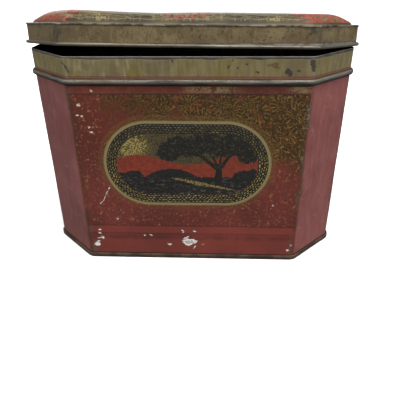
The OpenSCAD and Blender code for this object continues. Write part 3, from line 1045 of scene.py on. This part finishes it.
def paint_chips(p, x, z):
    """Places on the front where the print has flaked, pale with a dark edge, and its scratches."""
    shift = p.noise(1.2, rough=0.65, stretch=(0.65, 1, 1.3))
    place = p.spot(x, z)
    found = nearest(blot, p, place, [((cx, cz), r, r * 0.8) for cx, cz, r in CHIPS])
    cuts = nearest(line, p, place, SCRATCHES)
    flaked = (found + (shift - 0.5) * 5.0 + 0.2).least(cuts + (shift - 0.5) * 2.0)
    p.coat(flaked.below(0.4, 0.3) * 0.45, RUST, rough=0.7)
    p.coat(flaked.below(0, 0.25), CHALK, rough=0.75)
    p.coat(flaked.below(0, 0.25) * z.above(70, 20) * 0.5, (196, 172, 130), rough=0.7)
    heart = blot(p, place, (-1.5, 14.4), 2.6, 1.2) + p.ripple(0.9, 6, detail=1)
    p.coat(heart.below(0, 0.3) * 0.8, (120, 116, 104), rough=0.6)
    scuff = nearest(blot, p, place, SCUFFS) + (shift - 0.5) * 7
    p.coat(scuff.below(0, 0.4) * flaked.above(0.2, 0.2) * 0.75, (98, 86, 70), rough=0.5, metal=0.3)
    return flaked


def paint_corners(p, z, edge, grit):
    """Print rubbed off the upright corners, which shows brown metal, and a darker band at the foot of the
    wall.
    """
    rub = p.noise(7, detail=4, rough=0.6, stretch=(1, 1, 0.45))
    near = edge.size().below(1.6, 1.5) * z.below(BEAD_LOW, 0.5)
    foot = z.below(16, 12)
    amount = (rub + foot * 0.12).above(0.56, 0.05) * near
    p.coat(amount * 0.75, (80, 62, 46), rough=0.5, metal=0.2)
    p.coat((rub + grit * 0.3).above(0.80, 0.03) * near, METAL, rough=0.45, metal=0.6)
    # Darker along the foot of the wall, just above the base seam.
    darker_foot = z.below(4.1, 0.9) * 0.45
    p.coat(darker_foot, (52, 34, 28), rough=0.6)


def paint_bead(p, z, grit):
    """The rolled bead, worn to the metal along its length, with a painted highlight along its crest and
    painted shade under it, along its lower side and in the crease above it.
    """
    on_bead = z.between(BEAD_LOW - 0.2, BEAD_TOP + 0.1, 0.2)
    # Painted shade: a dark band on the wall just under the bead and on the bead's underside.
    p.coat(z.between(BEAD_LOW - 1.1, BEAD_LOW + 0.5, 0.3) * 0.85, (38, 26, 23), rough=0.7)
    cloud = p.noise(4, detail=4, rough=0.6, stretch=(0.16, 0.16, 2.0))
    tone = p.clouded(cloud, 0.16, (60, 54, 47), (96, 91, 82))
    p.coat(on_bead, tone, rough=0.52, metal=0.40)
    # Painted highlight: a paler band of metal along the bead's upper side.
    crest_highlight = z.between(BEAD_TOP - 2.3, BEAD_TOP - 0.7, 0.4) * cloud.above(0.44, 0.12)
    p.coat(crest_highlight * 0.6, (142, 136, 126), rough=0.42, metal=0.5)
    left = (p.noise(5, detail=4, stretch=(0.4, 0.4, 1.4)) + grit * 0.4).above(0.76, 0.05) * on_bead
    p.coat(left * 0.55, (96, 80, 50), rough=0.5, metal=0.1)
    p.coat(on_bead * grit.below(0.42, 0.06) * 0.55, (46, 38, 32), rough=0.65, metal=0.1)
    # Painted shade along the bead's lower part.
    low = z.between(BEAD_LOW - 0.2, BEAD_LOW + 1.3, 0.5)
    p.coat(low * 0.5, (52, 38, 32), rough=0.6)
    # Painted shade in the crease between the bead and the neck.
    p.coat(z.between(BEAD_TOP - 0.4, BEAD_TOP + 0.35, 0.2) * 0.8, (42, 32, 27), rough=0.7)


NECK_MARKS = [
    ((-10, 153), (-9.4, 149.6), 1.0, 0.3), ((29, 152), (25.6, 146.2), 0.3, 0.15),
    ((31.6, 146.4), (32.2, 146.1), 0.4, 0.3), ((37.2, 148.4), (37.5, 148.3), 0.25, 0.2),
    ((43.5, 143.9), (44.6, 143.3), 0.45, 0.3), ((50.2, 147.6), (50.5, 147.4), 0.3, 0.25),
    ((63, 144), (64.8, 142.6), 1.5, 1.4), ((69.6, 144.4), (70.4, 144.2), 0.4, 0.3),
    ((78, 149.9), (79.3, 144.6), 1.9, 0.7), ((-80, 149.5), (-76.5, 144), 0.3, 0.6),
]


def paint_neck(p, x, z, front, grit):
    """The gilt neck: streaked, stained, scratched to grey metal, and bare along its edge, with a painted
    highlight along the top of its hem.
    """
    place = p.spot(x, z)
    neck = z.above(BEAD_TOP + 0.25, 0.15)
    streak = p.noise(2.0, detail=4, stretch=(1, 1, 0.16))
    cloud = p.noise(16)
    gilt = p.clouded(cloud, 0.12, (124, 112, 68), (132, 121, 90))
    p.coat(neck, gilt, rough=0.42, metal=0.22)
    p.coat(neck * streak.above(0.56, 0.08) * 0.30, (150, 139, 98))
    p.coat(neck * streak.below(0.43, 0.07) * 0.35, (98, 88, 54))
    left = x.below(-20, 30) * streak.above(0.60, 0.04)
    p.coat(neck * left * 0.35, (172, 162, 126))
    p.coat(neck * cloud.above(0.60, 0.08) * 0.45, (92, 78, 52), rough=0.5)
    p.coat(neck * grit.above(0.68, 0.04) * 0.6, RUST, rough=0.6, metal=0.1)
    ruled = z.between(BEAD_TOP + 0.3, BEAD_TOP + 1.6, 0.3)
    p.coat(ruled * 0.75, (104, 44, 36), rough=0.45, metal=0.0)
    stain = blot(p, place, (54.4, 148), 3.0, 1.7) + p.ripple(2, 6, detail=2)
    p.coat(neck * front * stain.below(0, 0.6) * 0.7, (92, 62, 40), rough=0.6, metal=0.1)
    ragged = p.ripple(1.4, 2.4, detail=2) - 0.15
    marks = nearest(line, p, place, NECK_MARKS) + ragged
    p.coat(neck * front * marks.below(0, 0.25) * 0.9, (58, 53, 48), rough=0.55, metal=0.2)
    p.coat(neck * grit.above(0.58, 0.06) * z.below(BEAD_TOP + 4, 3) * 0.35, (84, 72, 46))
    edge = z - NECK_TOP + 1.9 + p.ripple(7, 2.4, detail=4)
    bare = p.clouded(p.noise(9), 0.15, (74, 70, 64), (98, 94, 86))
    p.coat(neck * edge.above(0, 0.25), bare, rough=0.45, metal=0.45)
    p.coat(neck * edge.size().below(0.25, 0.2) * 0.35, (170, 162, 138), rough=0.4)
    # Painted highlight: a thin pale line along the top of the hem.
    crest_highlight = z.above(NECK_TOP - 0.45, 0.15) * cloud.above(0.40, 0.1)
    p.coat(crest_highlight * 0.6, (168, 164, 156), rough=0.35, metal=0.7)


def paint_foot(p, z):
    """The lowest edge of the wall, where it goes into the base seam."""
    p.coat(z.below(BASE_SEAM + 0.4, 0.4) * 0.9, (50, 40, 33), rough=0.6, metal=0.2)


def wall_fields(p):
    """The place along each wall, and the distance inside the ornamented part of that wall."""
    x, y = p.x, p.y
    ends = x.size().above(HALF_W - 1.5, 0.5)
    u = x + ends * (y - x)
    edge = (FIELD_X - x.size()).most(FIELD_Y - y.size())
    return u, edge


def printed_walls(name, with_picture):
    """The print of the walls below the bead; the front wall's has the picture and the chips."""
    p = Paint(name)
    x, z = p.x, p.z
    u, edge = wall_fields(p)
    cloud, grit = paint_red(p, edge)
    paint_field(p, u, z, edge)
    paint_bands(p, u, z, edge)
    height = grit * 0.5 + cloud * 0.5
    if with_picture:
        d, along = oval_distance(x, z)
        paint_frame(p, z, d, along)
        paint_picture(p, x, z, d)
    paint_corners(p, z, edge, grit)
    if with_picture:
        height = height + paint_chips(p, x, z).above(0, 0.3) * 0.6
    paint_foot(p, z)
    return p.done(height, 0.06)


def gilt_neck():
    """The bead and the neck above it."""
    p = Paint("gilt_neck")
    front = p.y.below(-HALF_D + 2.5, 0.6)
    grit = p.noise(1.1, rough=0.65)
    p.ground(p.clouded(grit, 0.2, RED_DARK, RED), 0.42)
    paint_bead(p, p.z, grit)
    paint_neck(p, p.x, p.z, front, grit)
    return p.done(grit, 0.05)


# ---------------- the lid's print

LID_OLIVE = (80, 68, 45)
LID_OLIVE_DARK = (55, 46, 31)
LID_RED = (150, 76, 60)
LID_LINE = (146, 134, 92)


# Each scroll on the cushion's shoulder is (distance from the edge, swing, pace).
SCROLLS = ((8.2, 0.8, 1.0), (11.6, 1.0, 0.7), (15.0, 0.8, 1.15), (19.5, 1.1, 0.8), (26.0, 0.9, 0.9))


def lobes(paint, u, v, r, count, depth):
    """Distance outside a lobed outline."""
    turn = paint.math("ARCTAN2", v, u)
    reach = (turn * count).sine() * depth + r
    return (u * u + v * v).root() - reach


def paint_scrolls(p, ax, ay, s):
    """Thin gilt and dark scrolls, two border lines, and a bud in the middle of the lid."""
    fold = p.spot(ax, ay)
    on_cushion = s.above(6, 1)
    for size, width, seed, amount, colour in (
        (7.5, 0.012, 5.0, 0.55, LID_LINE), (4.2, 0.012, 33.0, 0.35, LID_LINE), (3.0, 0.020, 21.0, 0.50, INK)
    ):
        p.coat(hairlines(p, fold, size, width, seed) * on_cushion * amount, colour)
    bands = (s - 31).size().least((s - 33.2).size()).below(0.22, 0.2)
    p.coat(bands * 0.6, LID_LINE)
    bud = lobes(p, p.x, p.y, 6.5, 6.0, 1.6)
    p.coat(bud.below(0, 0.3) * 0.8, LID_RED)
    p.coat(bud.near(0, 0.3, 0.2) * 0.7, LID_LINE)
    along = ax * (1 / 3.1)
    waver = p.noise(9, detail=2)
    for at, swing, pace in SCROLLS:
        wave = ((along * pace + ay * 0.33 + waver * 9).sine() * swing) + at
        p.coat(s.near(wave, 0.16, 0.22) * 0.75, LID_LINE)


def red_motifs(p, ax, ay, s):
    """Distance outside the red leafy motifs at the corners, the middles of the sides and the heart."""
    leaf = p.noise(4.5, detail=2) - 0.5
    corner = (ax - ay - (HALF_W - HALF_D)) * math.sqrt(0.5)
    reach = corner.size() - 25 + (s * 1.1).sine() * 2.2 + leaf * 10
    tongue = reach.most(s - 19 + (corner * 0.55).sine() * 2.4 + leaf * 8)
    middle = blot(p, p.spot(ax, s), (0, 14), 13, 5.5) + (p.x * 1.15).sine() * 1.8 + leaf * 9
    flank = blot(p, p.spot(ay, s), (0, 15), 14, 7) + (p.y * 0.9).sine() * 1.8 + leaf * 8
    flank = flank.most(HALF_W - 40 - ax)
    heart = lobes(p, p.x * 0.72, p.y, 20, 8.0, 3.0)
    red = tongue.least(middle.most(ax - 30)).least(flank).least(heart.size() - 3.2)
    return red.most(4.5 - s), heart


def paint_motifs(p, ax, red, heart):
    """The red motifs, faded towards the middle, with dark outlines and curls in them."""
    worn = p.noise(2.4, rough=0.6)
    faint = 1 - heart.below(8, 4) * 0.3 - ax.below(24, 8) * 0.25
    tint = p.clouded(worn, 0.14, (126, 62, 48), LID_RED)
    p.coat(red.below(0, 0.35) * faint, tint)
    p.coat(red.near(0, 0.28, 0.2) * 0.75, INK)
    rings = p.ripple(8, 1, detail=1).size()
    curls = rings.below(0.055, 0.010) * red.below(-1.0, 0.3)
    p.coat(curls * 0.9, LID_OLIVE_DARK)
    p.coat(curls * rings.below(0.030, 0.010) * 0.8, (120, 106, 76))
    p.coat(red.below(-0.5, 0.3) * worn.above(0.62, 0.04) * 0.5, (166, 104, 84))


def printed_lid():
    """Olive ground with gilt scrolls and red motifs, and a gilt margin inside a bare rim."""
    p = Paint("printed_lid", lid=True)
    ax, ay = p.x.size(), p.y.size()
    slant = (HALF_W + HALF_D - CUT - ax - ay) * math.sqrt(0.5)
    edge = (HALF_D - ay).least(slant).least(HALF_W - ax)
    rise = (p.z - RIM_TOP).most(0.0).least(SHOULDER_H)
    s = edge + rise * 0.9
    grit = p.noise(1.0, rough=0.65)
    cloud = p.noise(22)
    p.ground(p.clouded(cloud, 0.15, LID_OLIVE_DARK, LID_OLIVE), 0.42)
    paint_scrolls(p, ax, ay, s)
    red, heart = red_motifs(p, ax, ay, s)
    paint_motifs(p, ax, red, heart)
    p.coat(grit.above(0.66, 0.04) * 0.4, (60, 50, 38))
    gilt = p.clouded(cloud, 0.1, (78, 68, 48), (96, 86, 62))
    p.coat(edge.below(3.6, 0.3) * 0.9, gilt, rough=0.45, metal=0.2)
    bright = p.clouded(p.noise(5, detail=4), 0.12, (72, 67, 60), (128, 122, 112))
    p.coat(edge.below(-0.9, 0.5), bright, rough=0.36, metal=0.6)
    ridge = s.between(17, 22, 2) * p.noise(9, detail=4, rough=0.6).above(0.60, 0.05)
    p.coat(ridge * 0.5, (150, 142, 122), rough=0.4, metal=0.3)
    return p.done(grit * 0.5 + red.above(0, 0.5) * 0.3, 0.05, sheen=0.2)


SKIRT_MARKS = [
    ((60, 149), (58.6, 146.6), 0.3, 0.5), ((-79, 150.5), (-81, 147), 1.2, 0.9),
    ((-83.5, 151), (-84, 146.5), 0.6, 0.5), ((76, 152), (77, 149.5), 1.6, 0.9),
    ((78, 150), (74, 148.6), 0.9, 0.4), ((86, 152.5), (87, 150.6), 0.6, 0.3),
    ((22, 150.6), (21, 149), 0.25, 0.3),
]


def gilt_skirt():
    """The lid's skirt: olive gilt with brown stains, dark flecks, and a bare curl, and painted shade
    towards its left end.
    """
    p = Paint("gilt_skirt", lid=True)
    x, y, z = p.x, p.y, p.z
    front = y.below(-HALF_D + 32, 1)
    place = p.spot(x, z)
    grit = p.noise(1.0, rough=0.65)
    cloud = p.noise(19, detail=4, stretch=(1, 1, 1.6))
    streak = p.noise(4, stretch=(1, 1, 0.3))
    p.ground(p.clouded(cloud, 0.13, (96, 82, 56), (119, 105, 74)), 0.44, 0.18)
    p.coat(streak.above(0.58, 0.07) * 0.30, (130, 118, 86))
    stain = p.noise(5, detail=4, rough=0.6, stretch=(1.3, 1.3, 1))
    p.coat(stain.above(0.58, 0.06) * 0.45, (84, 58, 34), rough=0.55, metal=0.1)
    p.coat(grit.above(0.60, 0.05) * 0.55, (74, 58, 35), rough=0.6, metal=0.1)
    pits = p.noise(2.2, detail=2).above(0.66, 0.03)
    p.coat(pits * 0.7, (58, 42, 27), rough=0.65, metal=0.0)
    p.coat(grit.below(0.36, 0.05) * 0.35, (138, 126, 94), rough=0.42, metal=0.2)
    marks = nearest(line, p, place, SKIRT_MARKS) + p.ripple(2.2, 3.2)
    p.coat(marks.below(0, 0.4) * front * 0.8, (58, 50, 41), rough=0.55, metal=0.2)
    # Painted shade: the skirt is darker towards its left end.
    p.coat(x.below(-62, 16) * 0.25, (62, 50, 36))
    corner = (x.size() - (HALF_W - CUT + 2)).size() + p.ripple(5, 16)
    p.coat(corner.below(2.5, 2.5) * front * 0.5, (64, 54, 40), rough=0.5)
    low = z.below(CURL_Z + CURL_R + 0.4, 0.3)
    bare = p.clouded(p.noise(9, detail=4), 0.12, (102, 98, 94), (150, 147, 142))
    p.coat(low, bare, rough=0.4, metal=0.6)
    p.coat(z.between(CURL_Z + CURL_R, CURL_Z + CURL_R + 0.7, 0.2) * 0.6, (58, 48, 38), rough=0.6)
    p.coat(low * grit.above(0.6, 0.05) * 0.6, (60, 52, 44), rough=0.6, metal=0.2)
    return p.done(grit, 0.05)


# ---------------- bare metal, inside and beneath

def old_tinplate(name, light, dark, rust, lid=False):
    """Bare tinplate gone dull, with darker clouds, spots of rust and fine scratches."""
    p = Paint(name, lid)
    grit = p.noise(1.2, rough=0.65)
    cloud = p.noise(26, detail=4)
    spots = p.noise(4.5, detail=4, rough=0.6)
    rub = p.noise(1.4, detail=2, stretch=(0.08, 1, 1))
    p.ground(p.clouded(cloud, 0.15, dark, light), 0.40, 0.65)
    p.coat(rub.above(0.62, 0.05) * 0.3, (150, 144, 132), rough=0.3)
    p.coat(spots.above(rust, 0.04) * 0.75, RUST, rough=0.75, metal=0.1)
    p.coat(grit.above(0.66, 0.05) * 0.6, (58, 48, 38), rough=0.7, metal=0.2)
    return p.done(grit + spots.above(rust, 0.04), 0.06)


def base_metal():
    """The bottom plate and its double seam: brown old metal with a painted highlight along the top of the
    seam's outer edge.
    """
    p = Paint("base_metal")
    grit = p.noise(1.1, rough=0.65)
    cloud = p.noise(11, detail=4)
    p.ground(p.clouded(cloud, 0.14, (64, 49, 41), (88, 71, 60)), 0.5, 0.35)
    p.coat(grit.above(0.60, 0.06) * 0.7, (44, 34, 28), rough=0.7, metal=0.1)
    # Painted highlight: a paler, more metallic band along the top of the seam.
    outer = (p.x.size() - (HALF_W - 2)).most(p.y.size() - (HALF_D - 2)).above(-40, 1)
    top = p.z.between(BASE_SEAM - 1.1, BASE_SEAM + 0.2, 0.3)
    p.coat(outer * top * cloud.above(0.50, 0.14) * 0.35, (104, 92, 78), rough=0.45, metal=0.4)
    p.coat((cloud + grit * 0.4).above(0.80, 0.05) * 0.6, RUST, rough=0.8, metal=0.0)
    return p.done(grit + cloud, 0.08)


def paint_cad_nodes(names, material):
    for name in names:
        for slot in frame["nodes"][name].material_slots:
            slot.material = material


# ---------------- stage, light and camera

# The floor and the lamps are in metres. Each lamp is (name, place, size, power).
FLOOR_HALF = 6.0
ROOM_BASE, ROOM_ABOVE, ROOM_SIDES, ROOM_ENDS = 0.07, 0.14, 0.10, 0.09
LAMPS = [
    ("lamp_left", (-1.2, -0.7, 0.7), 0.9, 7), ("lamp_right", (1.25, -0.6, 0.75), 0.9, 8),
    ("lamp_front", (0.2, -1.3, 1.0), 1.2, 7), ("lamp_back", (-0.3, 1.4, 0.6), 1.2, 8),
]
LAMP_TARGET = Vector((0, 0, 0.08))
SUN_POWER = 3.3
SUN_SPREAD = math.radians(50)
SUN_LEAN = (math.radians(12), math.radians(8), 0)
CAMERA_MM = (19.209, -355.370, 203.036)
CAMERA_YAW, CAMERA_PITCH, CAMERA_ROLL = 0.043, 0.498, 0.008
SENSOR, LENS = 36, 38.86


def make_floor():
    mesh = bpy.data.meshes.new("floor")
    r = FLOOR_HALF
    mesh.from_pydata([(-r, -r, 0), (r, -r, 0), (r, r, 0), (-r, r, 0)], [], [(0, 1, 2, 3)])
    floor = link(bpy.data.objects.new("floor", mesh))
    p = Paint("pale_floor")
    grain = p.noise(30)
    p.ground(p.clouded(grain, 0.3, (250, 250, 250), (253, 253, 253)), 0.8)
    mesh.materials.append(p.done(grain, 0.01))
    floor.visible_diffuse = False
    floor.visible_glossy = False


def make_light(name, place, size, power):
    """A soft square lamp that faces the tin."""
    data = bpy.data.lights.new(name, "AREA")
    data.shape = "SQUARE"
    data.size = size
    data.energy = power
    lamp = link(bpy.data.objects.new(name, data))
    lamp.location = place
    lamp.rotation_euler = (LAMP_TARGET - place).to_track_quat("-Z", "Y").to_euler()


def make_world():
    """A soft room: brighter above, at the sides, in front and behind than it is below."""
    world = bpy.data.worlds.new("studio")
    bpy.context.scene.world = world
    world.use_nodes = True
    room = Nodes(world.node_tree)
    x, y, z = room.split(room.node("ShaderNodeTexCoord").outputs["Generated"])
    glow = z.most(0.0) * ROOM_ABOVE + ROOM_BASE + x.size() * ROOM_SIDES + y.size() * ROOM_ENDS
    background = world.node_tree.nodes["Background"]
    background.inputs["Color"].default_value = (1.0, 1.0, 1.0, 1.0)
    room.feed(background.inputs["Strength"], glow)


def make_lights():
    make_world()
    sun = bpy.data.lights.new("lamp_overhead", "SUN")
    sun.energy = SUN_POWER
    sun.angle = SUN_SPREAD
    lamp = link(bpy.data.objects.new("lamp_overhead", sun))
    lamp.rotation_euler = SUN_LEAN
    for name, place, size, power in LAMPS:
        make_light(name, Vector(place), size, power)


def make_camera():
    """The camera stands in front, above the lid, and looks down at the front wall."""
    yaw, pitch, roll = CAMERA_YAW, CAMERA_PITCH, CAMERA_ROLL
    level = math.cos(pitch)
    forward = Vector((-math.sin(yaw) * level, math.cos(yaw) * level, -math.sin(pitch)))
    right = Vector((math.cos(yaw), math.sin(yaw), 0))
    down = forward.cross(right)
    across = right * math.cos(roll) + down * math.sin(roll)
    below = down * math.cos(roll) - right * math.sin(roll)
    data = bpy.data.cameras.new("camera")
    data.sensor_width = SENSOR
    data.lens = LENS
    data.clip_start = 0.01
    camera = link(bpy.data.objects.new("camera", data))
    turn = Matrix((across, -below, -forward)).transposed().to_4x4()
    camera.matrix_world = Matrix.Translation(Vector(CAMERA_MM) * MM) @ turn
    bpy.context.scene.camera = camera


# ---------------- the whole tin

def build():
    walls = [printed_walls("printed_walls", False), printed_walls("printed_front", True), gilt_neck()]
    lid = printed_lid()
    skirt = gilt_skirt()
    inside = old_tinplate("tinplate_inside", (112, 106, 92), (82, 76, 64), 0.64)
    lid_inside = old_tinplate("tinplate_lid_inside", (118, 112, 98), (88, 82, 70), 0.66, lid=True)
    pieces = [
        (make_front_wall(walls + [inside]), "tin_body", "body_print"),
        (make_rear_wall(walls + [inside]), "tin_body", "body_print"),
        (make_base(base_metal()), "tin_body", "bare_tinplate"),
        (make_skirt([skirt, lid_inside]), "lid", "gold_band"),
        (make_cushion([lid, lid_inside]), "lid", "lid_print"),
    ]
    for piece, body, slot in pieces:
        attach(piece, body)
    steel = old_tinplate("hinge_metal", (120, 114, 104), (84, 78, 70), 0.58)
    lid_steel = old_tinplate("hinge_metal_lid", (120, 114, 104), (84, 78, 70), 0.58, lid=True)
    sides = ("left", "right")
    paint_cad_nodes([f"hinge_body_leaf_{side}" for side in sides], steel)
    paint_cad_nodes([f"hinge_pin_{side}" for side in sides] + ["body_rivets"], steel)
    paint_cad_nodes([f"hinge_lid_leaf_{side}" for side in sides] + ["lid_rivets"], lid_steel)


make_camera()
make_lights()
make_floor()
build()
bpy.context.scene.view_settings.view_transform = "Standard"
